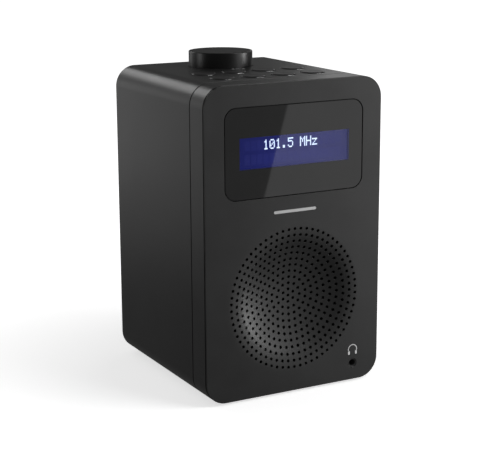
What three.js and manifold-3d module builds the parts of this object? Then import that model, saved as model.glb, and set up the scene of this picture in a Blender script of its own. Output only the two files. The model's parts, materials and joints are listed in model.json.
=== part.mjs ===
// Tabletop radio: an upright plastic cabinet with a dished speaker grille, a character display,
// eight top buttons, a push-and-turn knob and a telescopic antenna on the back.
// Millimetres, +Z up, front face towards -Y, origin on the table below the middle of the overall box.
import * as THREE from "three";
import { mergeVertices } from "three/addons/utils/BufferGeometryUtils.js";
import Module from "manifold-3d";

const wasm = await Module();
wasm.setup();

// ---- driving dimensions -------------------------------------------------------------------------
const WIDTH = 110;
const DEPTH = 115; // front face to back edge of the cabinet
const HEIGHT = 174; // cabinet only, without feet and knob
const CORNER = 12; // radius of the four long edges
const LIFT = 1.5; // the feet hold the cabinet this far off the table
const ANTENNA_PROUD = 9; // how far the folded antenna stands behind the cabinet
const GAP = 0.3; // space between neighbouring pieces
const WALL = 2.6;
const TOP_WALL = 3;

const FRONT_Y = -(DEPTH + ANTENNA_PROUD) / 2;
const BACK_Y = FRONT_Y + DEPTH;
const BOTTOM_Z = LIFT;
const TOP_Z = LIFT + HEIGHT;

// front panel, front frame and cabinet meet at two shadow grooves
const PANEL_RIM = 0.8;
const PANEL_THICK = 3;
const PANEL_GROOVE = 0.6;
const SEAM_DEPTH = 16.5; // front face to the groove between frame and cabinet
const SEAM_GROOVE = 0.4;
const REBATE = 1; // wall left outside a nested lip
const LIP_LENGTH = 2.6;
const FRAME_FRONT_Y = FRONT_Y + PANEL_RIM + PANEL_GROOVE;
const FRAME_BACK_Y = FRONT_Y + SEAM_DEPTH - SEAM_GROOVE / 2;
const CABINET_FRONT_Y = FRAME_BACK_Y + SEAM_GROOVE;

// display, in the upper part of the front panel
const WINDOW = { width: 85.4, height: 49.2, radius: 6.5, z: BOTTOM_Z + 137 };
const LENS_THICK = 1.5;
const LCD_VIEW = { width: 68, height: 17 };
const LCD_GLASS = { width: 73, height: 23, thick: 2.2 };
const LCD_BEZEL = { width: 76, height: 27, depth: 5.6, lip: 0.4 };
const DISPLAY_BOARD = { width: 80, height: 36, thick: 1.6 };
const LENS_Y = FRONT_Y + 0.1;
const BEZEL_Y = LENS_Y + LENS_THICK + GAP;
const GLASS_Y = BEZEL_Y + LCD_BEZEL.lip + GAP;
const DISPLAY_BOARD_Y = BEZEL_Y + LCD_BEZEL.depth + GAP;

// dished grille and the loudspeaker behind it
const SPEAKER_Z = BOTTOM_Z + 53.5;
const DISH_DEPTH = 7.6;
const DISH_BOWL_RADIUS = 87;
const DISH_LIP_RADIUS = 32;
const DISH_THICK = 2;
const BAFFLE_Y = FRONT_Y + 10.9;
const BAFFLE_THICK = 2;
const BAFFLE_HOLE_RADIUS = 35.2;
const SPEAKER_Y = BAFFLE_Y + BAFFLE_THICK + GAP; // front of the speaker's gasket
const SPEAKER_FLANGE_RADIUS = 39;
const FLANGE_Y = SPEAKER_Y + 1.3;
const CHASSIS_BACK_Y = SPEAKER_Y + 24;
const MAGNET_Y = CHASSIS_BACK_Y + 0.4;
const COIL_RADIUS = 10.2;
const SPEAKER_EAR = { offset: 30, radius: 4.6, hole: 1.6, boss: 2.8 }; // four fixing ears, on the diagonals

// headphone socket, low on the right of the front panel
const JACK = { x: 38.4, z: BOTTOM_Z + 9.85, hole: 2.6, nose: 2.3, bore: 1.8 };

// top controls
const BUTTON_COLUMNS = [-28.5, -9.5, 9.5, 28.5];
const BUTTON_ROWS = [BACK_Y - 62.5, BACK_Y - 85];
const BUTTON_RADIUS = 6.75;
const BUTTON_PROUD = 0.9;
const BUTTON_TRAVEL = 0.7;
const KNOB = { y: BACK_Y - 28.2, radius: 18.7, proud: 8.8, sunk: 0.4 };
const KNOB_WELL_DEPTH = 1.2;
const SHAFT_RADIUS = 3;
const KEY_BOARD = { z: TOP_Z - 12, halfWidth: 42, y0: BUTTON_ROWS[1] - 8.5, y1: KNOB.y + 14, thick: 1.6 };
const MAIN_BOARD = { y: 12, halfWidth: 45, z0: 100, z1: 158, thick: 1.6 };

// back: battery bay, door, power inlet and screws
const COVER_THICK = 2.3;
const COVER_Y = BACK_Y - 0.2 - COVER_THICK;
const COVER_INSET = TOP_WALL + GAP;
const BAY = { halfWidth: 31, z0: 38, z1: 98, depth: 17, wall: 1.5, ledge: 3.3 };
const POWER = { x: -38, z: 20, hole: 4.5, nose: 4.2, bore: 3.2, pin: 1 };
const SCREW_X = 47.5;
const SCREW_ZS = [BOTTOM_Z + 10.5, TOP_Z - 10.5];
const BOSS_RADIUS = 4;

// antenna, folded straight down behind the cabinet
const PIVOT = { x: 38, y: BACK_Y + 5.2, z: 152 };
const EAR_RADIUS = ANTENNA_PROUD - 5.2;
const PIN_RADIUS = 1.2;
const MAST_TOP_Z = PIVOT.z - 7.5;
const MAST_LENGTH = 100;
const MAST_RADII = [3.2, 2.45, 1.7, 0.95];
const MAST_WALL = 0.45;

const FOOT = { radius: 7, x: 34, height: LIFT - GAP };
const FOOT_YS = [CABINET_FRONT_Y + 12, BACK_Y - 12];

// ---- materials ----------------------------------------------------------------------------------
function plastic(color, roughness) {
  return new THREE.MeshStandardMaterial({ color, roughness, metalness: 0 });
}
function metal(color, roughness) {
  return new THREE.MeshStandardMaterial({ color, roughness, metalness: 1 });
}
const CABINET_BLACK = plastic(0x2a2a2b, 0.45);
const PANEL_BLACK = plastic(0x2d2d2e, 0.5);
const BUTTON_BLACK = plastic(0x333334, 0.4);
const KNOB_BLACK = plastic(0x161616, 0.35);
const LENS_BLACK = plastic(0x0c0c0d, 0.05);
const LCD_BLUE = plastic(0x2a2f78, 0.2);
const RUBBER_BLACK = plastic(0x101010, 0.8);
const SILICONE_GREY = plastic(0x8b8d90, 0.6);
const BOARD_GREEN = plastic(0x1e5a34, 0.5);
const PAPER_BLACK = plastic(0x1b1b1c, 0.8);
const RIBBON_WHITE = plastic(0xd8d8d4, 0.5);
const STEEL = metal(0xb8babd, 0.35);
const CHROME = metal(0xd0d2d5, 0.12);
const COPPER = metal(0xb4713a, 0.35);

// ---- solids -------------------------------------------------------------------------------------
// A closed three.js geometry as a manifold solid, turned face-out whatever way its profile ran.
function solid(geometry) {
  const bare = geometry.index ? geometry.toNonIndexed() : geometry.clone();
  bare.deleteAttribute("normal");
  bare.deleteAttribute("uv");
  const merged = mergeVertices(bare, 1e-4);
  const vertProperties = merged.attributes.position.array;
  const triVerts = new Uint32Array(merged.index.array);
  const made = new wasm.Manifold(new wasm.Mesh({ numProp: 3, vertProperties, triVerts }));
  if (made.volume() > 0) return made;
  return new wasm.Manifold(
    new wasm.Mesh({ numProp: 3, vertProperties, triVerts: triVerts.reverse() }),
  );
}

function geometryOf(manifold) {
  const mesh = manifold.getMesh();
  return new THREE.BufferGeometry()
    .setAttribute("position", new THREE.BufferAttribute(mesh.vertProperties, 3))
    .setIndex(new THREE.BufferAttribute(mesh.triVerts, 1));
}

const radio = new THREE.Group();

function add(name, manifold, material) {
  const mesh = new THREE.Mesh(geometryOf(manifold), material);
  mesh.name = name;
  radio.add(mesh);
}

function box(x0, x1, y0, y1, z0, z1) {
  const geometry = new THREE.BoxGeometry(x1 - x0, y1 - y0, z1 - z0);
  return solid(geometry.translate((x0 + x1) / 2, (y0 + y1) / 2, (z0 + z1) / 2));
}

function centredBox(x, y, z, width, depth, height) {
  return box(x - width / 2, x + width / 2, y - depth / 2, y + depth / 2, z - height / 2, z + height / 2);
}

function cylinderX(y, z, radius, x0, x1, sides = 20) {
  const geometry = new THREE.CylinderGeometry(radius, radius, x1 - x0, sides).rotateZ(Math.PI / 2);
  return solid(geometry.translate((x0 + x1) / 2, y, z));
}

function cylinderY(x, z, radius, y0, y1, sides = 24) {
  const geometry = new THREE.CylinderGeometry(radius, radius, y1 - y0, sides);
  return solid(geometry.translate(x, (y0 + y1) / 2, z));
}

function cylinderZ(x, y, radius, z0, z1, sides = 24) {
  const geometry = new THREE.CylinderGeometry(radius, radius, z1 - z0, sides).rotateX(Math.PI / 2);
  return solid(geometry.translate(x, y, (z0 + z1) / 2));
}

// A profile of [radius, y] points turned about an axis along Y through (x, z).
function turnedY(profile, x, z, sides = 40) {
  const points = profile.map(([radius, y]) => new THREE.Vector2(radius, y));
  return solid(new THREE.LatheGeometry(points, sides).translate(x, 0, z));
}

// A profile of [radius, z] points turned about an axis along Z through (x, y).
function turnedZ(profile, x, y, sides = 40) {
  const points = profile.map(([radius, z]) => new THREE.Vector2(radius, z));
  return solid(new THREE.LatheGeometry(points, sides).rotateX(Math.PI / 2).translate(x, y, 0));
}

function roundedRectangle(x0, x1, z0, z1, radius) {
  const shape = new THREE.Shape();
  shape.moveTo(x1, z0 + radius);
  shape.absarc(x1 - radius, z1 - radius, radius, 0, Math.PI / 2);
  shape.absarc(x0 + radius, z1 - radius, radius, Math.PI / 2, Math.PI);
  shape.absarc(x0 + radius, z0 + radius, radius, Math.PI, 1.5 * Math.PI);
  shape.absarc(x1 - radius, z0 + radius, radius, 1.5 * Math.PI, 2 * Math.PI);
  return shape;
}

// A shape drawn in X and Z, extruded along Y from y0 to y1.
function slab(shape, y0, y1, curveSegments = 8) {
  const options = { depth: y1 - y0, bevelEnabled: false, curveSegments };
  return solid(new THREE.ExtrudeGeometry(shape, options).rotateX(Math.PI / 2).translate(0, y1, 0));
}

// The cabinet's outline, drawn in by inset on every side.
function outline(inset) {
  return roundedRectangle(
    -WIDTH / 2 + inset,
    WIDTH / 2 - inset,
    BOTTOM_Z + inset,
    TOP_Z - inset,
    CORNER - inset,
  );
}

function windowShape(grow, radius) {
  const halfWidth = WINDOW.width / 2 + grow;
  const halfHeight = WINDOW.height / 2 + grow;
  return roundedRectangle(-halfWidth, halfWidth, WINDOW.z - halfHeight, WINDOW.z + halfHeight, radius);
}

// The four places (x, z) that lie dx and dz either side of the middle line and of the height z.
function fourCorners(dx, dz, z) {
  return [-1, 1].flatMap((sz) => [-1, 1].map((sx) => [sx * dx, z + sz * dz]));
}

// A round wire of the given radius along a smooth curve through the points.
function wire(points, radius, steps, sides = 8) {
  const path = new THREE.CatmullRomCurve3(points.map((p) => new THREE.Vector3(...p)));
  const section = new THREE.Shape();
  section.absarc(0, 0, radius, 0, 2 * Math.PI);
  const options = { steps, curveSegments: sides / 2, extrudePath: path };
  return solid(new THREE.ExtrudeGeometry(section, options));
}

// ---- front panel with window and dish -------------------------------------------------------------
// The dish is a bowl that meets the flat panel through a convex lip. Depth behind the face at a radius:
const DISH_SPAN = DISH_BOWL_RADIUS + DISH_LIP_RADIUS;
const DISH_RADIUS = Math.sqrt(2 * DISH_SPAN * DISH_DEPTH - DISH_DEPTH ** 2);
const DISH_TANGENT = (DISH_RADIUS * DISH_BOWL_RADIUS) / DISH_SPAN;
function dishDepth(radius) {
  if (radius >= DISH_RADIUS) return 0;
  if (radius > DISH_TANGENT) {
    return DISH_LIP_RADIUS - Math.sqrt(DISH_LIP_RADIUS ** 2 - (DISH_RADIUS - radius) ** 2);
  }
  return DISH_DEPTH - DISH_BOWL_RADIUS + Math.sqrt(DISH_BOWL_RADIUS ** 2 - radius ** 2);
}

function frontPanel() {
  const rings = [0, 6, 12, 18, 24, 29, 33, 37, DISH_RADIUS];
  const depths = rings.map((radius) => [radius, FRONT_Y + dishDepth(radius)]);
  const hollow = [...depths, [DISH_RADIUS, FRONT_Y - 1], [0, FRONT_Y - 1]];
  const bowlBack = depths
    .map(([radius, y]) => [radius, y + DISH_THICK])
    .filter(([, y]) => y > FRONT_Y + PANEL_THICK);
  const rim = bowlBack[bowlBack.length - 1][0];
  const bulge = [...bowlBack, [rim, FRONT_Y + 1], [0, FRONT_Y + 1]];
  const lensSeatY = LENS_Y + LENS_THICK + GAP;
  return slab(outline(0), FRONT_Y, FRONT_Y + PANEL_RIM)
    .add(slab(outline(REBATE + GAP), FRONT_Y + PANEL_RIM - 0.1, FRONT_Y + PANEL_THICK))
    .add(turnedY(bulge, 0, SPEAKER_Z))
    .subtract(turnedY(hollow, 0, SPEAKER_Z))
    .subtract(slab(windowShape(GAP, WINDOW.radius + GAP), FRONT_Y - 1, lensSeatY))
    .subtract(slab(windowShape(-3.2, WINDOW.radius - 3), FRONT_Y - 1, FRONT_Y + PANEL_THICK + 1))
    .subtract(cylinderY(JACK.x, JACK.z, JACK.hole, FRONT_Y - 1, FRONT_Y + PANEL_THICK + 1));
}

// ---- front frame: outer ring and the baffle that carries speaker and display -------------------------
const BAFFLE_BACK_Y = BAFFLE_Y + BAFFLE_THICK;

function frontFrame() {
  const panelPocketY = FRONT_Y + PANEL_THICK + GAP;
  const lipPocketY = FRAME_BACK_Y - LIP_LENGTH + SEAM_GROOVE - GAP;
  const leadWindow = { halfWidth: 30, halfHeight: 9 };
  const post = { x: 36, z: 14, radius: 2 };
  let frame = slab(outline(0), FRAME_FRONT_Y, FRAME_BACK_Y)
    .subtract(slab(outline(REBATE), FRAME_FRONT_Y - 1, panelPocketY))
    .subtract(slab(outline(WALL), FRAME_FRONT_Y - 1, BAFFLE_Y))
    .subtract(slab(outline(WALL), BAFFLE_BACK_Y, FRAME_BACK_Y + 1))
    .subtract(slab(outline(REBATE), lipPocketY, FRAME_BACK_Y + 1))
    .subtract(cylinderY(0, SPEAKER_Z, BAFFLE_HOLE_RADIUS, BAFFLE_Y - 1, BAFFLE_BACK_Y + 1, 40))
    .subtract(
      box(
        -leadWindow.halfWidth,
        leadWindow.halfWidth,
        BAFFLE_Y - 1,
        BAFFLE_BACK_Y + 1,
        WINDOW.z - leadWindow.halfHeight,
        WINDOW.z + leadWindow.halfHeight,
      ),
    )
    .subtract(box(JACK.x - 4.2, JACK.x + 4.2, BAFFLE_Y - 1, BAFFLE_BACK_Y + 1, JACK.z - 3.5, JACK.z + 3.5));
  for (const [x, z] of fourCorners(SPEAKER_EAR.offset, SPEAKER_EAR.offset, SPEAKER_Z)) {
    frame = frame
      .add(cylinderY(x, z, SPEAKER_EAR.boss, BAFFLE_BACK_Y - 0.5, FLANGE_Y - GAP, 12))
      .subtract(cylinderY(x, z, 1.2, BAFFLE_Y - 1, FLANGE_Y, 10));
  }
  for (const [x, z] of fourCorners(post.x, post.z, WINDOW.z)) {
    const boardBack = DISPLAY_BOARD_Y + DISPLAY_BOARD.thick + GAP;
    frame = frame.add(cylinderY(x, z, post.radius, boardBack, BAFFLE_Y + 0.5, 10));
  }
  return frame;
}

// ---- cabinet: the wrap with top openings, inner lip and screw bosses ---------------------------------
function cabinetShell() {
  const cavity = roundedRectangle(
    -WIDTH / 2 + WALL,
    WIDTH / 2 - WALL,
    BOTTOM_Z + WALL,
    TOP_Z - TOP_WALL,
    CORNER - WALL,
  );
  const bossFrontY = 20;
  const bossBackY = COVER_Y - GAP;
  let shell = slab(outline(0), CABINET_FRONT_Y, BACK_Y)
    .add(slab(outline(REBATE + GAP), CABINET_FRONT_Y - LIP_LENGTH, CABINET_FRONT_Y + 1))
    .subtract(slab(cavity, CABINET_FRONT_Y - LIP_LENGTH - 1, BACK_Y + 1));
  for (const side of [-1, 1]) {
    for (const z of SCREW_ZS) {
      const x = side * SCREW_X;
      const wallX = side * (WIDTH / 2 - WALL / 2);
      const rib = box(Math.min(x, wallX), Math.max(x, wallX), bossFrontY, bossBackY, z - 1.2, z + 1.2);
      shell = shell
        .add(cylinderY(x, z, BOSS_RADIUS, bossFrontY, bossBackY, 16).add(rib))
        .subtract(cylinderY(x, z, 1.7, bossBackY - 13, bossBackY + 1, 12));
    }
  }
  const post = { x: KEY_BOARD.halfWidth - 1.7, radius: 1.2 };
  const ceiling = TOP_Z - TOP_WALL + 0.5;
  for (const x of [-post.x, post.x]) {
    for (const y of [KEY_BOARD.y0 + 2, KEY_BOARD.y1 - 2]) {
      shell = shell.add(cylinderZ(x, y, post.radius, KEY_BOARD.z + GAP, ceiling, 10));
    }
    const railX = Math.sign(x) * (MAIN_BOARD.halfWidth - 2);
    const wallX = Math.sign(x) * (WIDTH / 2 - WALL / 2);
    const [x0, x1] = [Math.min(railX, wallX), Math.max(railX, wallX)];
    const railY = MAIN_BOARD.y - GAP;
    shell = shell.add(box(x0, x1, railY - 2, railY, MAIN_BOARD.z0 + 6, MAIN_BOARD.z1 - 6));
  }
  for (const y of BUTTON_ROWS) {
    for (const x of BUTTON_COLUMNS) {
      shell = shell.subtract(cylinderZ(x, y, BUTTON_RADIUS + GAP, TOP_Z - TOP_WALL - 1, TOP_Z + 1));
    }
  }
  return shell
    .subtract(cylinderZ(0, KNOB.y, KNOB.radius + GAP, TOP_Z - KNOB_WELL_DEPTH, TOP_Z + 1, 40))
    .subtract(cylinderZ(0, KNOB.y, 4, TOP_Z - TOP_WALL - 1, TOP_Z + 1));
}

// ---- display ------------------------------------------------------------------------------------------
function lcdBezel() {
  const bezelY1 = BEZEL_Y + LCD_BEZEL.depth;
  const body = centredBox(
    0,
    (BEZEL_Y + bezelY1) / 2,
    WINDOW.z,
    LCD_BEZEL.width,
    LCD_BEZEL.depth,
    LCD_BEZEL.height,
  );
  const pocket = centredBox(
    0,
    (BEZEL_Y + LCD_BEZEL.lip + bezelY1 + 1) / 2,
    WINDOW.z,
    LCD_GLASS.width + 2 * GAP,
    LCD_BEZEL.depth + 1 - LCD_BEZEL.lip,
    LCD_GLASS.height + 2 * GAP,
  );
  return body
    .subtract(pocket)
    .subtract(centredBox(0, BEZEL_Y, WINDOW.z, LCD_VIEW.width, 4, LCD_VIEW.height));
}

function addDisplay() {
  add("display_lens", slab(windowShape(0, WINDOW.radius), LENS_Y, LENS_Y + LENS_THICK), LENS_BLACK);
  add("lcd_bezel", lcdBezel(), STEEL);
  const glassMiddle = GLASS_Y + LCD_GLASS.thick / 2;
  const glass = centredBox(
    0,
    glassMiddle,
    WINDOW.z,
    LCD_GLASS.width,
    LCD_GLASS.thick,
    LCD_GLASS.height,
  );
  add("lcd_glass", glass, LCD_BLUE);
  const boardMiddle = DISPLAY_BOARD_Y + DISPLAY_BOARD.thick / 2;
  const board = centredBox(
    0,
    boardMiddle,
    WINDOW.z,
    DISPLAY_BOARD.width,
    DISPLAY_BOARD.thick,
    DISPLAY_BOARD.height,
  );
  add("display_board", board, BOARD_GREEN);
}

// ---- loudspeaker: every part is turned about the dish's axis ---------------------------------------------
function speakerBasket() {
  const profile = [
    [34.2, FLANGE_Y],
    [SPEAKER_FLANGE_RADIUS, FLANGE_Y],
    [SPEAKER_FLANGE_RADIUS, FLANGE_Y + 1.4],
    [36, FLANGE_Y + 1.4],
    [27.5, CHASSIS_BACK_Y],
    [12.5, CHASSIS_BACK_Y],
    [12.5, CHASSIS_BACK_Y - 1.5],
    [26.4, CHASSIS_BACK_Y - 1.5],
    [34.2, FLANGE_Y + 1.6],
    [34.2, FLANGE_Y],
  ];
  let basket = turnedY(profile, 0, SPEAKER_Z, 36);
  for (const [x, z] of fourCorners(SPEAKER_EAR.offset, SPEAKER_EAR.offset, SPEAKER_Z)) {
    basket = basket
      .add(cylinderY(x, z, SPEAKER_EAR.radius, FLANGE_Y, FLANGE_Y + 1.4, 16))
      .subtract(cylinderY(x, z, SPEAKER_EAR.hole, FLANGE_Y - 1, FLANGE_Y + 3, 12));
  }
  for (let quarter = 0; quarter < 4; quarter += 1) {
    const slot = new THREE.BoxGeometry(26, 12, 24);
    slot.translate(0, CHASSIS_BACK_Y - 9.5, 34).rotateY((quarter + 0.5) * (Math.PI / 2));
    basket = basket.subtract(solid(slot.translate(0, 0, SPEAKER_Z)));
  }
  return basket;
}

// The rubber half-roll between basket and cone, from its outer lip to its inner edge.
function speakerSurround() {
  const middle = 31.3;
  const roll = 1.9;
  const front = FLANGE_Y - GAP;
  const outer = [];
  const inner = [];
  const steps = 5;
  for (let step = 0; step <= steps; step += 1) {
    const angle = (step / steps) * Math.PI;
    outer.push([middle + (roll + 0.3) * Math.cos(angle), front - 0.5 - (roll + 0.3) * Math.sin(angle)]);
    inner.unshift([middle + (roll - 0.3) * Math.cos(angle), front - 0.5 - (roll - 0.3) * Math.sin(angle)]);
  }
  const start = [35.8, front - 0.5];
  return turnedY([start, ...outer, ...inner, [34, front], [35.8, front], start], 0, SPEAKER_Z, 28);
}

function addSpeaker() {
  const gasket = [
    [36.2, SPEAKER_Y],
    [SPEAKER_FLANGE_RADIUS, SPEAKER_Y],
    [SPEAKER_FLANGE_RADIUS, SPEAKER_Y + 1],
    [36.2, SPEAKER_Y + 1],
    [36.2, SPEAKER_Y],
  ];
  add("speaker_gasket", turnedY(gasket, 0, SPEAKER_Z, 32), RUBBER_BLACK);
  add("speaker_basket", speakerBasket(), STEEL);
  add("speaker_surround", speakerSurround(), RUBBER_BLACK);

  const coneFront = FLANGE_Y - 0.8;
  const coneBack = SPEAKER_Y + 13;
  const cone = [
    [28.7, coneFront],
    [28.7, coneFront + 0.8],
    [COIL_RADIUS + 0.3, coneBack + 0.8],
    [COIL_RADIUS + 0.3, coneBack - 0.2],
    [28.7, coneFront],
  ];
  add("speaker_cone", turnedY(cone, 0, SPEAKER_Z, 32), PAPER_BLACK);
  const cap = [
    [0, coneBack - 5],
    [4, coneBack - 4.5],
    [7.6, coneBack - 3.2],
    [COIL_RADIUS, coneBack - 1.4],
    [COIL_RADIUS, coneBack - 0.8],
    [0, coneBack - 2],
  ];
  add("speaker_dust_cap", turnedY(cap, 0, SPEAKER_Z, 24), PAPER_BLACK);
  const coil = [
    [COIL_RADIUS - 0.9, coneBack - 0.4],
    [COIL_RADIUS, coneBack - 0.4],
    [COIL_RADIUS, MAGNET_Y + 9],
    [COIL_RADIUS - 0.9, MAGNET_Y + 9],
    [COIL_RADIUS - 0.9, coneBack - 0.4],
  ];
  add("voice_coil", turnedY(coil, 0, SPEAKER_Z, 24), COPPER);

  const spiderY = SPEAKER_Y + 18;
  const waveTop = [];
  const waveBack = [];
  for (let step = 0; step <= 6; step += 1) {
    const radius = 11 + step * 2.2;
    const wave = 0.8 * (step % 2);
    waveTop.push([radius, spiderY + wave]);
    waveBack.unshift([radius, spiderY + wave + 0.6]);
  }
  add("speaker_spider", turnedY([...waveTop, ...waveBack, waveTop[0]], 0, SPEAKER_Z, 24), PAPER_BLACK);

  const magnet = [
    [0, MAGNET_Y],
    [8.6, MAGNET_Y],
    [8.6, MAGNET_Y + 12],
    [11, MAGNET_Y + 12],
    [11, MAGNET_Y],
    [22, MAGNET_Y],
    [22, MAGNET_Y + 3],
    [26, MAGNET_Y + 3],
    [26, MAGNET_Y + 13],
    [22, MAGNET_Y + 13],
    [22, MAGNET_Y + 16],
    [0, MAGNET_Y + 16],
  ];
  add("speaker_magnet", turnedY(magnet, 0, SPEAKER_Z, 28), STEEL);
  fourCorners(SPEAKER_EAR.offset, SPEAKER_EAR.offset, SPEAKER_Z).forEach(([x, z], index) => {
    const seatY = FLANGE_Y + 1.4 + GAP;
    const screw = cylinderY(x, z, 2.6, seatY, seatY + 1.5, 14)
      .add(cylinderY(x, z, 0.9, BAFFLE_Y + 0.3, seatY + 0.3, 10))
      .subtract(box(x - 1.6, x + 1.6, seatY + 1, seatY + 3, z - 0.3, z + 0.3))
      .subtract(box(x - 0.3, x + 0.3, seatY + 1, seatY + 3, z - 1.6, z + 1.6));
    add(`speaker_screw_${index + 1}`, screw, STEEL);
  });
}

// ---- headphone socket --------------------------------------------------------------------------------------
function headphoneJack() {
  const noseY = FRONT_Y + GAP;
  const bodyY = FRONT_Y + PANEL_THICK + GAP;
  return centredBox(JACK.x, bodyY + 3.6, JACK.z, 7.4, 7.2, 6)
    .add(cylinderY(JACK.x, JACK.z, JACK.nose, noseY, bodyY + 0.5))
    .subtract(cylinderY(JACK.x, JACK.z, JACK.bore, noseY - 1, bodyY + 6.4));
}

// ---- circuit boards ------------------------------------------------------------------------------------------
function addBoards() {
  const { y, halfWidth, z0, z1, thick } = MAIN_BOARD;
  add("main_board", box(-halfWidth, halfWidth, y, y + thick, z0, z1), BOARD_GREEN);
  const canY = y + thick + GAP;
  add("tuner_module", box(-20, 18, canY, canY + 4, 122, 150), STEEL);
  const key = KEY_BOARD;
  add("key_board", box(-key.halfWidth, key.halfWidth, key.y0, key.y1, key.z - key.thick, key.z), BOARD_GREEN);
}

// ---- top buttons over one silicone key mat -----------------------------------------------------------------------
function addButtons() {
  const matZ = KEY_BOARD.z + GAP;
  const domeTop = TOP_Z - 6.5;
  let mat = box(-38.5, 38.5, BUTTON_ROWS[1] - 8, BUTTON_ROWS[0] + 8, matZ, matZ + 1.2);
  BUTTON_ROWS.forEach((y, row) => {
    BUTTON_COLUMNS.forEach((x, column) => {
      const flangeTop = TOP_Z - TOP_WALL - GAP;
      const stemBottom = domeTop + BUTTON_TRAVEL + 0.2;
      const crown = TOP_Z + BUTTON_PROUD;
      const profile = [
        [0, stemBottom],
        [2, stemBottom],
        [2, flangeTop - 1],
        [BUTTON_RADIUS + 1, flangeTop - 1],
        [BUTTON_RADIUS + 1, flangeTop],
        [BUTTON_RADIUS, flangeTop],
        [BUTTON_RADIUS, crown - 0.5],
        [BUTTON_RADIUS - 0.5, crown],
        [0, crown],
      ];
      const number = row * BUTTON_COLUMNS.length + column + 1;
      add(`button_${number}`, turnedZ(profile, x, y, 20), BUTTON_BLACK);
      const dome = [
        [0, matZ + 0.5],
        [3.6, matZ + 0.5],
        [2.6, domeTop],
        [0, domeTop],
      ];
      mat = mat.add(turnedZ(dome, x, y, 12));
    });
  });
  add("key_mat", mat, SILICONE_GREY);
}

// ---- push-and-turn knob on its encoder -------------------------------------------------------------------------------
function addKnob() {
  const baseZ = KEY_BOARD.z + GAP;
  const bore = SHAFT_RADIUS + 0.35;
  const bushingTop = TOP_Z - KNOB_WELL_DEPTH - 0.2;
  const housing = centredBox(0, KNOB.y, baseZ + 3, 12.4, 12.4, 6)
    .add(cylinderZ(0, KNOB.y, 3.7, baseZ + 5, bushingTop, 20))
    .subtract(cylinderZ(0, KNOB.y, bore, baseZ + 0.7, bushingTop + 1, 20));
  add("encoder_body", housing, STEEL);
  const plungerZ = baseZ + 1.6;
  const plungerTop = plungerZ + 1.2;
  add("encoder_plunger", cylinderZ(0, KNOB.y, SHAFT_RADIUS, plungerZ, plungerTop, 20), SILICONE_GREY);
  const crown = TOP_Z + KNOB.proud;
  const shaftTop = crown - 2.9;
  add("encoder_shaft", cylinderZ(0, KNOB.y, SHAFT_RADIUS, plungerTop + GAP, shaftTop, 20), CHROME);
  const skirt = TOP_Z - KNOB.sunk;
  const ceiling = crown - 2.6;
  const profile = [
    [KNOB.radius - 2.2, skirt],
    [KNOB.radius, skirt],
    [KNOB.radius, crown - 0.4],
    [KNOB.radius - 0.4, crown],
    [0, crown],
    [0, ceiling],
    [SHAFT_RADIUS + GAP, ceiling],
    [SHAFT_RADIUS + GAP, skirt + 1],
    [SHAFT_RADIUS + 2.6, skirt + 1],
    [SHAFT_RADIUS + 2.6, ceiling],
    [KNOB.radius - 2.2, ceiling],
    [KNOB.radius - 2.2, skirt],
  ];
  add("knob", turnedZ(profile, 0, KNOB.y, 48), KNOB_BLACK);
}

// ---- back: cover with battery bay, door, contacts, power inlet, screws ------------------------------------------------
const BAY_FLOOR_Y = COVER_Y - BAY.depth;
const BAY_OUTER = BAY.wall + BAY.ledge;

function rearCover() {
  const outerX = BAY.halfWidth + BAY_OUTER;
  const doorX = BAY.halfWidth + BAY.ledge;
  let cover = slab(outline(COVER_INSET), COVER_Y, COVER_Y + COVER_THICK)
    .add(
      box(-outerX, outerX, BAY_FLOOR_Y - BAY.wall, COVER_Y + 0.5, BAY.z0 - BAY_OUTER, BAY.z1 + BAY_OUTER),
    )
    .subtract(box(-BAY.halfWidth, BAY.halfWidth, BAY_FLOOR_Y, BACK_Y + 1, BAY.z0, BAY.z1))
    .subtract(box(-doorX, doorX, COVER_Y, BACK_Y + 1, BAY.z0 - BAY.ledge, BAY.z1 + BAY.ledge))
    .subtract(cylinderY(POWER.x, POWER.z, POWER.hole, COVER_Y - 1, BACK_Y + 1))
    .subtract(cylinderY(PIVOT.x, PIVOT.z, 2.5 + GAP, COVER_Y - 1, BACK_Y + 1, 20));
  for (const x of [-SCREW_X, SCREW_X]) {
    for (const z of SCREW_ZS) {
      cover = cover
        .subtract(cylinderY(x, z, 1.7, COVER_Y - 1, BACK_Y + 1, 12))
        .subtract(cylinderY(x, z, 3.3, BACK_Y - 1.5, BACK_Y + 1, 20));
    }
  }
  return cover;
}

function batteryDoor() {
  const halfWidth = BAY.halfWidth + BAY.ledge - GAP;
  const z0 = BAY.z0 - BAY.ledge + GAP;
  const z1 = BAY.z1 + BAY.ledge - GAP;
  const y0 = COVER_Y + GAP;
  const y1 = COVER_Y + COVER_THICK;
  const fingerGrip = cylinderX(y1 + 3, z1 - 8, 4, -8, 8);
  return box(-halfWidth, halfWidth, y0, y1, z0, z1).subtract(fingerGrip);
}

// A contact strip across one end of the bay, with a bump or a spring cone for each cell.
function batteryContact(z, direction, reach) {
  const thick = 0.5;
  const y = BAY_FLOOR_Y + BAY.depth / 2;
  const outer = z + direction * thick;
  let strip = box(-29, 29, y - 5, y + 5, Math.min(z, outer), Math.max(z, outer));
  for (let cell = 0; cell < 4; cell += 1) {
    const x = (cell - 1.5) * 15.2;
    const base = z + direction * 0.2;
    const profile = [
      [0, base],
      [3.6, base],
      [2, z + direction * reach],
      [0, z + direction * reach],
    ];
    strip = strip.add(turnedZ(profile, x, y, 12));
  }
  return strip;
}

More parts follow.
